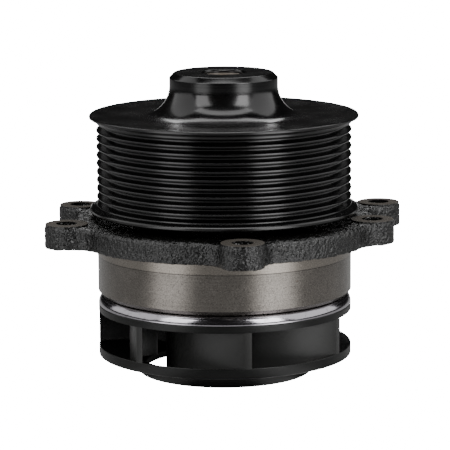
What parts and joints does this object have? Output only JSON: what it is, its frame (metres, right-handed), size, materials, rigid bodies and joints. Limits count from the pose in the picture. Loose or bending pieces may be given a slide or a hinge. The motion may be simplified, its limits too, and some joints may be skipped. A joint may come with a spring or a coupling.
{
  "type": "engine coolant pump",
  "caption": "Heavy engine coolant pump with ribbed belt pulley, cast flanged housing with bolt lugs and spigot, and closed plastic impeller.",
  "frame": {"origin": "centre of the spigot in the plane of the flange's mounting face", "axes": "+Z along the shaft axis, out of the engine towards the pulley; -Y is the side seen from the front, with one bolt lug a little to its right"},
  "size_m": [0.1522, 0.1549, 0.1291],
  "materials": {
    "pulley_paint": "gloss black paint",
    "cast_iron": "black painted rough casting with bare machined spigot and spot faces",
    "shaft_steel": "ground steel",
    "bearing_steel": "ground steel",
    "ball_steel": "polished bearing steel",
    "cage_polymer": "glass-filled nylon",
    "seal_rubber": "matte rubber",
    "spring_steel": "spring steel",
    "stainless_sheet": "pressed stainless sheet",
    "carbon": "lapped carbon graphite",
    "silicon_carbide": "lapped ceramic",
    "impeller_gloss_plastic": "gloss moulded plastic",
    "impeller_plastic": "glass-filled moulded plastic"
  },
  "bodies": {
    "housing": {"pump_housing": "cast_iron", "bearing_outer_ring": "bearing_steel", "front_bearing_seal": "seal_rubber", "rear_bearing_seal": "seal_rubber", "bearing_retaining_ring": "spring_steel", "seal_cup": "stainless_sheet", "seal_bellows": "seal_rubber", "seal_spring": "spring_steel", "spring_collar": "stainless_sheet", "carbon_ring": "carbon"},
    "rotor": {"pulley": "pulley_paint", "drive_shaft": "shaft_steel", "shaft_slinger": "seal_rubber", "mating_ring": "silicon_carbide", "mating_ring_cup": "seal_rubber", "impeller_insert": "shaft_steel", "impeller_back_cover": "impeller_gloss_plastic", "impeller_vane_disc": "impeller_plastic", "impeller_front_shroud": "impeller_plastic"},
    "ball_set": {"ball_row": "ball_steel", "ball_cage": "cage_polymer"},
    "roller_set": {"roller_row": "ball_steel", "roller_cage": "cage_polymer"}
  },
  "joints": [
    {"name": "rotor_spin", "type": "hinge", "parent": "housing", "child": "rotor", "pos_m": [0, 0, 0.02], "axis": [0, 0, 1], "continuous": true},
    {"name": "ball_set_spin", "type": "hinge", "parent": "housing", "child": "ball_set", "pos_m": [0, 0, 0.0328], "axis": [0, 0, 1], "continuous": true},
    {"name": "roller_set_spin", "type": "hinge", "parent": "housing", "child": "roller_set", "pos_m": [0, 0, 0.0184], "axis": [0, 0, 1], "continuous": true}
  ],
  "couplings": [
    {"joint": "ball_set_spin", "follows": "rotor_spin", "ratio": 0.3451},
    {"joint": "roller_set_spin", "follows": "rotor_spin", "ratio": 0.3827}
  ]
}
